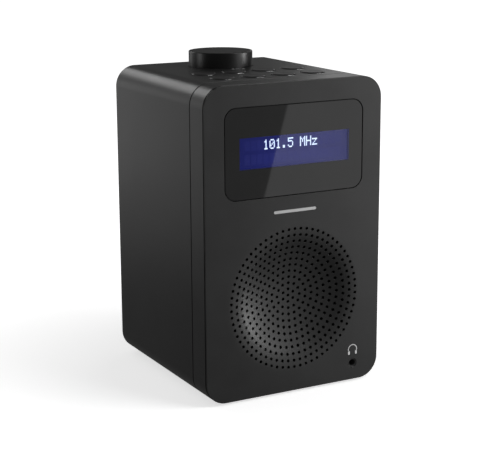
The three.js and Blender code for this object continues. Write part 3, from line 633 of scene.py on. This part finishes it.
def grille_holes():
    """Centres of the grille's holes: one in the middle, then rings of six more each. Every odd ring is
    turned by half a hole."""
    centres = [(0.0, SPEAKER_Z)]
    for ring in range(1, HOLE_RINGS + 1):
        count = 6 * ring
        turn = math.pi / count if ring % 2 else 0.0
        centres += circle(0, SPEAKER_Z, HOLE_PITCH * ring, count, turn)
    return centres


def window_loop(margin):
    """The lens's outline, moved outwards."""
    half_width, half_height = WINDOW_HALF_WIDTH + margin, WINDOW_HALF_HEIGHT + margin
    return rounded_loop(half_width, half_height, LENS_CORNER + margin, WINDOW_Z)


def seat_loop():
    """The opening in the seat that holds the lens."""
    half_width, half_height = WINDOW_HALF_WIDTH - SEAT_INSET, WINDOW_HALF_HEIGHT - SEAT_INSET
    return rounded_loop(half_width, half_height, SEAT_CORNER, WINDOW_Z)


def jack_loop(margin):
    return circle(JACK_X, JACK_Z, JACK_HOLE_RADIUS + margin, 48)


def panel_layout():
    """Loops that bound the face, each as a pair for its front and its back: outline, window, jack hole and
    grille holes. And the spare points between them, which give the dish its shape."""
    loops = {
        "outline": [cabinet_outline(0.2), cabinet_outline(PANEL_REBATE)],
        "window": [window_loop(LENS_GAP + 0.1), seat_loop()],
        "jack": [jack_loop(0.2), jack_loop(0)],
    }
    for number, (x, z) in enumerate(grille_holes()):
        loops[f"hole_{number}"] = [
            circle(x, z, HOLE_RADIUS + HOLE_CHAMFER, HOLE_SIDES),
            circle(x, z, HOLE_RADIUS, HOLE_SIDES),
        ]
    spare = []
    for ring in range(HOLE_RINGS):
        count = 12 * ring + 6
        spare += circle(0, SPEAKER_Z, HOLE_PITCH * (ring + 0.5), count, math.pi / count)
    for radius in (HOLE_PITCH * (HOLE_RINGS + 0.33), DISH_EDGE - 0.8, DISH_EDGE, DISH_EDGE + 0.8):
        spare += circle(0, SPEAKER_Z, radius, 144)
    return loops, spare


def triangulate(loops, spare, side):
    """Triangles over the face between the loops, as index triples into (loop points..., spare points)."""
    points, edges, owner = [], [], []
    for name, pair in loops.items():
        start = len(points)
        loop = pair[side]
        points += loop
        owner += [name] * len(loop)
        edges += [(start + i, start + (i + 1) % len(loop)) for i in range(len(loop))]
    points += spare
    owner += [None] * len(spare)
    flat = [Vector(p) for p in points]
    _, _, faces, source, _, _ = delaunay_2d_cdt(flat, edges, [], 0, 1e-5)
    origin = [ids[0] if ids else None for ids in source]
    kept = []
    for face in faces:
        corners = [origin[i] for i in face]
        owners = {owner[c] for c in corners}
        only = owners.pop() if len(owners) == 1 else None
        if only is None or only == "outline":
            kept.append(corners)
    return points, kept


def make_front_panel():
    """The face with its dish and holes: the same triangles in front and behind, and a wall along each
    loop."""
    loops, spare = panel_layout()
    points, triangles = triangulate(loops, spare, 0)
    back_points = [p for pair in loops.values() for p in pair[1]] + spare
    bm = bmesh.new()
    face_verts = [bm.verts.new((x, FRONT + dish_depth(x, z), z)) for x, z in points]
    back_verts = []
    for x, z in back_points:
        depth = max(PANEL_THICK, dish_depth(x, z) + DISH_THICK)
        back_verts.append(bm.verts.new((x, FRONT + depth, z)))
    for a, b, c in triangles:
        bm.faces.new((face_verts[a], face_verts[b], face_verts[c]))
        bm.faces.new((back_verts[c], back_verts[b], back_verts[a]))
    start = 0
    sections = panel_edge_sections()
    for name, pair in loops.items():
        count = len(pair[0])
        chain = [face_verts[start : start + count]]
        if name in sections:
            for outline, y in sections[name]:
                chain.append(add_loop(bm, outline, y))
        else:
            ring = [bm.verts.new((x, FRONT + dish_depth(x, z) + HOLE_CHAMFER, z)) for x, z in pair[1]]
            chain.append(ring)
        chain.append(back_verts[start : start + count])
        for first, second in zip(chain, chain[1:]):
            bridge(bm, first, second)
        start += count
    finish_piece("front_fascia", bm, PANEL, "housing", ["front_panel"], 15)


def panel_edge_sections():
    """The loops between face and back at the outline, the window and the jack hole, with their y."""
    seat = lens_high.y + GAP
    return {
        "outline": [
            (cabinet_outline(0.06), FRONT + 0.06),
            (cabinet_outline(0), FRONT + 0.2),
            (cabinet_outline(0), FRONT + PANEL_RIM),
            (cabinet_outline(PANEL_REBATE), FRONT + PANEL_RIM),
        ],
        "window": [
            (window_loop(LENS_GAP), FRONT + 0.1),
            (window_loop(LENS_GAP), seat),
            (seat_loop(), seat),
        ],
        "jack": [(jack_loop(0), FRONT + 0.2)],
    }


# ---- display -------------------------------------------------------------------------------------
VIEW_HALF_WIDTH = 34.0
VIEW_HALF_HEIGHT = 8.5
CELL_PITCH = 3.78
CELL_COLUMNS = 16
CELL_HALF_WIDTH, CELL_HALF_HEIGHT = 1.62, 2.7
DOT_PITCH, DOT_ROW_PITCH = 0.66, 0.76
DOT_HALF_WIDTH = 0.47 * DOT_PITCH
DOT_HALF_HEIGHT = DOT_HALF_WIDTH + 0.04
PRINT_THICK = 0.02
ROW_Z = (WINDOW_Z + 3.8, WINDOW_Z - 3.8)
GLYPHS = {
    "0": ("01110", "10001", "10011", "10101", "11001", "10001", "01110"),
    "1": ("00100", "01100", "00100", "00100", "00100", "00100", "01110"),
    "5": ("11111", "10000", "11110", "00001", "00001", "10001", "01110"),
    ".": ("00000", "00000", "00000", "00000", "00000", "01100", "01100"),
    "M": ("10001", "11011", "10101", "10101", "10001", "10001", "10001"),
    "H": ("10001", "10001", "10001", "11111", "10001", "10001", "10001"),
    "z": ("00000", "00000", "11111", "00010", "00100", "01000", "11111"),
}
READOUT = "101.5 MHz"


def make_lens():
    """The dark window: its rim is printed black behind, and a clear pane shows the display."""
    front, back = lens_low.y, lens_high.y

    def outline(inset):
        return window_loop(-inset)

    def view_brick(play, front, back):
        half_width, half_height = VIEW_HALF_WIDTH - play, VIEW_HALF_HEIGHT - play
        return brick(
            (-half_width, front, WINDOW_Z - half_height), (half_width, back, WINDOW_Z + half_height)
        )

    section = [(0.08, front), (0, front + 0.08), (0, back)]
    plate = combined(swept(section, outline, False), [view_brick(0, front - 1, back + 1)])
    finish_piece("lens_plate", plate, LENS_BLACK, "housing", ["display_lens"], 15)
    finish_piece("lens_pane", view_brick(0.01, front, back), ACRYLIC, "housing")


def bar(x, y, width, height):
    """The corners of a rectangle about its middle."""
    left, right = x - width / 2, x + width / 2
    low, high = y - height / 2, y + height / 2
    return [(left, low), (right, low), (right, high), (left, high)]


def make_lcd():
    """The lit display: its panel, two rows of faint character cells, and the dots of the readout."""
    glass = combined(brick(glass_low, glass_high), [], bevel=0.2)
    finish_piece("lcd_panel", glass, LCD_BLUE, "housing", ["lcd_glass"])
    front = glass_low.y
    cells, dots = [], []
    first_x = -CELL_PITCH * (CELL_COLUMNS - 1) / 2
    start = (CELL_COLUMNS - len(READOUT)) // 2
    for row_z in ROW_Z:
        for column in range(CELL_COLUMNS):
            x = first_x + column * CELL_PITCH
            cells.append(bar(x, row_z, 2 * CELL_HALF_WIDTH, 2 * CELL_HALF_HEIGHT))
    for place, letter in enumerate(READOUT):
        if letter == " ":
            continue
        left = first_x + (start + place) * CELL_PITCH - 2 * DOT_PITCH
        for row, bits in enumerate(GLYPHS[letter]):
            for column, bit in enumerate(bits):
                if bit == "0":
                    continue
                x = left + column * DOT_PITCH
                z = ROW_Z[0] + (3 - row) * DOT_ROW_PITCH
                dots.append(bar(x, z, 2 * DOT_HALF_WIDTH, 2 * DOT_HALF_HEIGHT))
    decal("lcd_cells", cells, front, "FRONT", LCD_CELL, PRINT_THICK)
    decal("lcd_digits", dots, front - PRINT_THICK, "FRONT", LCD_WHITE, PRINT_THICK)


# ---- front marks and socket ----------------------------------------------------------------------
def arc_band(x, z, inner, outer, start_deg, end_deg, steps=24):
    """The outline of a flat ring's stretch between two angles."""
    angles = [math.radians(start_deg + (end_deg - start_deg) * i / steps) for i in range(steps + 1)]
    points = [(x + outer * math.cos(a), z + outer * math.sin(a)) for a in angles]
    points += [(x + inner * math.cos(a), z + inner * math.sin(a)) for a in reversed(angles)]
    return points


def make_front_marks():
    """The headphone symbol above the socket, and a plain silver bar below the window."""
    icon_z = BOTTOM + 17.9
    band = arc_band(JACK_X, icon_z, 2.55, 3.05, -22, 202)
    cups = []
    for side in (-1, 1):
        cups.append(rounded_loop(0.62, 1.05, 0.4, icon_z - 1.9, 5, JACK_X + side * 2.35))
    decal("headphone_mark", [band, *cups], FRONT, "FRONT", PRINT_WHITE)
    badge = rounded_loop(13.3, 0.8, 0.8, BOTTOM + 103.4, 8)
    decal("badge_bar", [badge], FRONT, "FRONT", BADGE, 0.12)


def make_jack():
    """The socket's sleeve: a thin nose in the panel's hole, and a wider barrel behind the panel."""
    bore, nose_radius, barrel_radius = 2.05, 2.4, 3.4
    nose, barrel_front, barrel_back = jack_low.y, FRONT + PANEL_THICK + GAP, jack_high.y - 0.8
    section = [
        (nose_radius, nose + 0.1),
        (nose_radius - 0.05, nose),
        (bore + 0.1, nose),
        (bore, nose + 0.1),
        (bore, barrel_back),
        (barrel_radius, barrel_back),
        (barrel_radius, barrel_front),
        (nose_radius, barrel_front),
    ]
    sleeve = turned(section, (JACK_X, JACK_Z), "Y", 48)
    finish_piece("jack_socket", sleeve, JACK_PLASTIC, "housing", ["headphone_jack"])


# ---- top controls --------------------------------------------------------------------------------
def make_buttons():
    """Round caps with a slightly hollow crown, each with a collar below the cabinet's top and a stem."""
    low, high = box_mm("button_1")
    stem_end, crown = low.z, high.z - 0.35
    radius = BUTTON_RADIUS
    collar_low, collar_high = crown - 5.2, crown - 4.2
    for number, centre in BUTTONS.items():
        profile = [
            (0, stem_end),
            (2, stem_end),
            (2, collar_low),
            (radius + 1, collar_low),
            (radius + 1, collar_high),
            (radius, collar_high),
            (radius, crown - 0.55),
            (radius - 0.08, crown - 0.3),
            (radius - 0.3, crown - 0.1),
            (radius - 0.7, crown),
            (radius * 0.6, crown - 0.06),
            (radius * 0.3, crown - 0.1),
            (0, crown - 0.12),
        ]
        cap = turned(profile, centre, "Z", 72)
        name = f"button_{number}"
        finish_piece(f"{name}_cap", cap, BUTTON, name, [name])


def make_knob():
    """A glossy side with a finer top let into it, on a hub round the shaft."""
    crown = knob_high.z
    skirt = knob_low.z
    radius = KNOB_RADIUS
    wall, roof = 2.2, 2.6
    side = [
        (radius - wall, skirt),
        (radius - 0.2, skirt),
        (radius, skirt + 0.2),
        (radius, crown - 0.4),
        (radius - 0.06, crown - 0.2),
        (radius - 0.2, crown - 0.06),
        (radius - 0.4, crown),
        (radius - 0.8, crown),
        (radius - 0.8, crown - roof),
        (radius - wall, crown - roof),
    ]
    top = [
        (0, crown - roof + 0.1),
        (radius - 0.85, crown - roof + 0.1),
        (radius - 0.85, crown - 0.08),
        (radius - 0.95, crown),
        (0, crown),
    ]
    hub = bushing(3.3, 5.6, skirt + 1, crown - roof + 0.05)
    centre = (0, KNOB_Y)
    finish_piece("knob_side", turned(side, centre, "Z", 128), KNOB_SIDE, "knob", ["knob"])
    finish_piece("knob_top", turned(top, centre, "Z", 128), KNOB_TOP, "knob")
    finish_piece("knob_hub", turned(hub, centre, "Z", 48), KNOB_SIDE, "knob")


def bushing(inner, outer, low, high):
    """The section of a plain ring."""
    return [(inner, low), (outer, low), (outer, high), (inner, high)]


def triangle(x, y, size, direction):
    """The corners of an arrow head that points towards +x or -x."""
    return [(x - direction * size, y - size), (x + direction * size, y), (x - direction * size, y + size)]


def make_top_marks():
    """Small printed symbols in front of each button and of the knob."""
    size, line = 1.15, 0.6
    symbols = {
        # power, menu, tune, time
        1: lambda x, y: [arc_band(x, y, 0.75, 1.25, 125, 415), bar(x, y + 0.75, line, 1.3)],
        2: lambda x, y: [bar(x, y + k * 0.95, 3.8, line) for k in (-1, 0, 1)],
        3: lambda x, y: [triangle(x - 1.3, y, size, -1), triangle(x + 1.3, y, size, 1)],
        4: lambda x, y: [arc_band(x, y, 0.85, 1.35, 0, 359), bar(x + 2.1, y, line, 2.2)],
        # back, play and pause, next, more
        5: lambda x, y: [bar(x - 1.7, y, line, 2.0), triangle(x, y, size, -1)],
        6: lambda x, y: [triangle(x - 0.9, y, size, 1), bar(x + 0.8, y, line, 2), bar(x + 1.8, y, line, 2)],
        7: lambda x, y: [bar(x + 1.7, y, line, 2.0), triangle(x, y, size, 1)],
        8: lambda x, y: [circle(x + k * 1.6, y, 0.55, 16) for k in (-1, 0, 1)],
    }
    outlines = []
    for number, (x, y) in BUTTONS.items():
        outlines += symbols[number](x, y - BUTTON_RADIUS - 1.4)
    knob_front = KNOB_Y - KNOB_RADIUS - 3.2
    outlines += [triangle(-3.6, knob_front, size, -1), bar(0, knob_front, 3.4, 0.35)]
    outlines += [triangle(3.6, knob_front, size, 1)]
    decal("top_marks", outlines, TOP, "TOP", PRINT_WHITE)


# ---- back, inlet, screws, feet -------------------------------------------------------------------
def refined(node, name, bevel):
    """A finer copy of a CAD node: flat areas joined, edges rounded, round sides shaded smooth. Faces larger
    than flat_over square millimetres stay flat."""
    flat_over = 40
    source = frame["nodes"][node]
    bm = bmesh.new()
    bm.from_mesh(source.data)
    bmesh.ops.scale(bm, vec=(1 / MM, 1 / MM, 1 / MM), verts=bm.verts)
    bmesh.ops.remove_doubles(bm, verts=bm.verts, dist=1e-3)
    bmesh.ops.dissolve_limit(bm, angle_limit=math.radians(1), verts=bm.verts, edges=bm.edges)
    bm = combined(bm, [], bevel=bevel)
    body, slot_name = source["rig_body"], slot_of(node)
    piece = finish_piece(name, bm, SLOT_MATERIALS[slot_name], body, [node], 20)
    for face in piece.data.polygons:
        face.use_smooth = face.area < flat_over * MM * MM


def slot_of(node):
    """The record's material slot of a CAD node."""
    rows = frame["record"]["subparts"]
    return next(row["material_slot"] for row in rows if row["node"] == node)


def make_feet():
    """Round rubber pads with a shallow hollow underneath."""
    for node in ("foot_front_left", "foot_front_right", "foot_back_left", "foot_back_right"):
        low, high = box_mm(node)
        centre = middle_xy(low, high)
        radius = (high.x - low.x) / 2
        profile = [
            (0, 0.1),
            (radius - 2.2, 0.1),
            (radius - 1.8, 0),
            (radius - 0.4, 0),
            (radius - 0.1, 0.12),
            (radius, 0.4),
            (radius, BOTTOM - 0.02),
            (0, BOTTOM - 0.02),
        ]
        finish_piece(f"{node}_pad", turned(profile, centre, "Z", 64), RUBBER, "housing", [node])


def make_back():
    refined("rear_cover", "back_plate", 0.25)
    refined("battery_door", "battery_lid", 0.3)
    refined("power_inlet", "inlet_socket", 0.15)
    for number in range(1, 5):
        refined(f"rear_screw_{number}", f"cross_screw_{number}", 0.12)


# ---- antenna -------------------------------------------------------------------------------------
def make_antenna():
    """The swivel and knuckle, three tubes that slide in each other, the thin last section, and its tip."""
    refined("antenna_swivel", "antenna_base", 0.2)
    refined("antenna_elbow", "antenna_knuckle", 0.2)
    bodies = {1: "antenna_elbow", 2: "antenna_section_2", 3: "antenna_section_3", 4: "antenna_section_4"}
    for number, body in bodies.items():
        node = f"antenna_section_{number}"
        low, high = box_mm(node)
        centre = middle_xy(low, high)
        radius = (high.x - low.x) / 2
        if number < 4:
            inner = radius - 0.45
            profile = [
                (inner, low.z),
                (radius - 0.3, low.z),
                (radius, low.z + 0.35),
                (radius, high.z - 0.2),
                (radius - 0.2, high.z),
                (inner, high.z),
            ]
        else:
            profile = [(0, low.z), (radius, low.z), (radius, high.z), (0, high.z)]
        tube = turned(profile, centre, "Z", 40)
        finish_piece(f"mast_tube_{number}", tube, CHROME, body, [node])
    low, high = box_mm("antenna_tip")
    centre = middle_xy(low, high)
    radius = (high.x - low.x) / 2
    profile = [
        (0, low.z),
        (radius - 1.2, low.z),
        (radius - 0.4, low.z + 0.25),
        (radius, low.z + 0.9),
        (radius, high.z - 0.5),
        (radius - 0.4, high.z),
        (0, high.z),
    ]
    tip = turned(profile, centre, "Z", 40)
    finish_piece("mast_tip", tip, CHROME, "antenna_section_4", ["antenna_tip"])


# ---- floor, lights, camera -----------------------------------------------------------------------
FLOOR_HALF = 9.0
BACKDROP_RADIUS = 8.8
GLOW_NEAR, GLOW_NEAR_RADIUS, GLOW_FAR_RADIUS = 0.66, 0.08, 0.30


def staged(name, mesh, material):
    """A floor or backdrop that only the camera sees, so that it stays out of the lighting."""
    mesh.materials.append(material)
    backing = linked_object(name, mesh)
    backing.visible_diffuse = False
    backing.visible_glossy = False
    backing.visible_transmission = False
    backing.visible_shadow = False


def floor_white():
    """White that glows more with the distance from the object, so that only the nearest shadow shows."""
    material, tree, shader = new_material("floor_white")
    slow = noise(tree, 2, 2.0)
    tinted(tree, shader, slow, (0.90, 0.90, 0.90), (0.92, 0.92, 0.92))
    shader.inputs["Roughness"].default_value = 0.9
    shader.inputs["Specular IOR Level"].default_value = 0.0
    shader.inputs["Emission Color"].default_value = (1, 1, 1, 1)
    coordinates = tree.nodes.new("ShaderNodeTexCoord")
    distance = tree.nodes.new("ShaderNodeVectorMath")
    distance.operation = "LENGTH"
    tree.links.new(coordinates.outputs["Object"], distance.inputs[0])
    glow = tree.nodes.new("ShaderNodeMapRange")
    glow.inputs["From Min"].default_value = GLOW_NEAR_RADIUS
    glow.inputs["From Max"].default_value = GLOW_FAR_RADIUS
    glow.inputs["To Min"].default_value = GLOW_NEAR
    glow.inputs["To Max"].default_value = 1.0
    tree.links.new(distance.outputs["Value"], glow.inputs["Value"])
    tree.links.new(glow.outputs["Result"], shader.inputs["Emission Strength"])
    return material


def make_floor():
    """A flat white floor, level with the undersides of the feet."""
    half = FLOOR_HALF
    mesh = bpy.data.meshes.new("floor")
    corners = [(-half, -half, 0), (half, -half, 0), (half, half, 0), (-half, half, 0)]
    mesh.from_pydata(corners, [], [(0, 1, 2, 3)])
    staged("floor", mesh, floor_white())


def make_backdrop():
    """A white dome far behind everything, which meets the floor near its edge."""
    bm = bmesh.new()
    bmesh.ops.create_uvsphere(bm, u_segments=48, v_segments=24, radius=BACKDROP_RADIUS)
    mesh = bpy.data.meshes.new("backdrop")
    bm.to_mesh(mesh)
    bm.free()
    staged("backdrop", mesh, glowing("backdrop_white", (0.98, 0.98, 0.98), (1, 1, 1), 1.1, 0.2))


WORLD_STRENGTH = 0.10
# name, place, aim, width, height, turn about its own axis in degrees, radiance
SOFTBOXES = (
    ("front_card", (0.3247, -0.40, 0.0278), (0.3247, 1.0, 0.0278), 0.30, 0.34, -16.4, 0.68),
    ("key", (0.34, -0.46, 0.56), (0, 0, 0.12), 0.40, 0.40, 0, 3.5),
    ("key_right", (0.55, -0.50, 0.32), (0, 0, 0.12), 0.35, 0.35, 0, 2.0),
    ("dish_light", (0.70, -0.30, 0.02), (0, 0, 0.06), 0.20, 0.30, 0, 11.5),
    ("back_right", (1.1, 1.0, 0.50), (0, 0, 0.17), 0.80, 0.60, 0, 0.68),
    ("back_fill", (0.55, 1.0, -0.18), (0, 0.05, 0.09), 0.80, 0.30, 0, 2.2),
    ("back_strip", (-0.30, 0.95, 0.66), (0, 0, 0.17), 0.80, 0.16, 0, 3.4),
    ("left", (-0.40, 0.66, 0.24), (0, 0, 0.15), 0.40, 0.30, 0, 0.45),
    ("left_back", (-0.22, 0.72, 0.12), (0, 0, 0.12), 0.22, 0.30, 0, 0.62),
    ("left_low", (-0.40, 0.62, -0.02), (0, 0, 0.12), 0.36, 0.16, 0, 0.28),
    ("knob_light", (-0.75, 0.25, 0.12), (0, 0, 0.17), 0.25, 0.30, 0, 2.2),
)


def softbox(name, place, aim, width, height, turn_deg, radiance):
    """A rectangular light in metres that reflections show and the camera doesn't."""
    data = bpy.data.lights.new(name, "AREA")
    data.shape = "RECTANGLE"
    data.size, data.size_y = width, height
    data.energy = radiance * math.pi * width * height
    lamp = linked_object(name, data)
    direction = Vector(aim) - Vector(place)
    facing = direction.to_track_quat("-Z", "Y").to_matrix().to_4x4()
    facing = facing @ Matrix.Rotation(math.radians(turn_deg), 4, "Z")
    lamp.rotation_euler = facing.to_euler()
    lamp.location = place
    lamp.visible_camera = False


def make_lights():
    world = bpy.data.worlds.new("studio")
    bpy.context.scene.world = world
    world.use_nodes = True
    background = world.node_tree.nodes["Background"]
    background.inputs["Color"].default_value = (1, 1, 1, 1)
    background.inputs["Strength"].default_value = WORLD_STRENGTH
    for row in SOFTBOXES:
        softbox(*row)


def make_camera():
    """A view from the left of the front face and a little above it."""
    azimuth, elevation, roll = math.radians(-28.57), math.radians(13.06), math.radians(-0.22)
    distance = 0.7950
    target = Vector((0.0033, (FRONT + BACK) / 2 * MM, BOTTOM * MM + 0.0832))
    back = Vector(
        (
            math.sin(azimuth) * math.cos(elevation),
            -math.cos(azimuth) * math.cos(elevation),
            math.sin(elevation),
        )
    )
    data = bpy.data.cameras.new("camera")
    data.sensor_width = 36
    data.lens = 97.85
    camera = linked_object("camera", data)
    camera.location = target + back * distance
    facing = (-back).to_track_quat("-Z", "Y").to_matrix().to_4x4()
    facing = facing @ Matrix.Rotation(roll, 4, "Z")
    camera.rotation_euler = facing.to_euler()
    data.clip_start, data.clip_end = 0.01, 100
    bpy.context.scene.camera = camera


bpy.context.scene.view_settings.view_transform = "Standard"
make_camera()
make_lights()
make_floor()
make_backdrop()
paint_cad_nodes()
make_cabinet()
make_front_ring()
make_baffle()
make_front_panel()
make_lens()
make_lcd()
make_front_marks()
make_jack()
make_buttons()
make_knob()
make_top_marks()
make_back()
make_feet()
make_antenna()
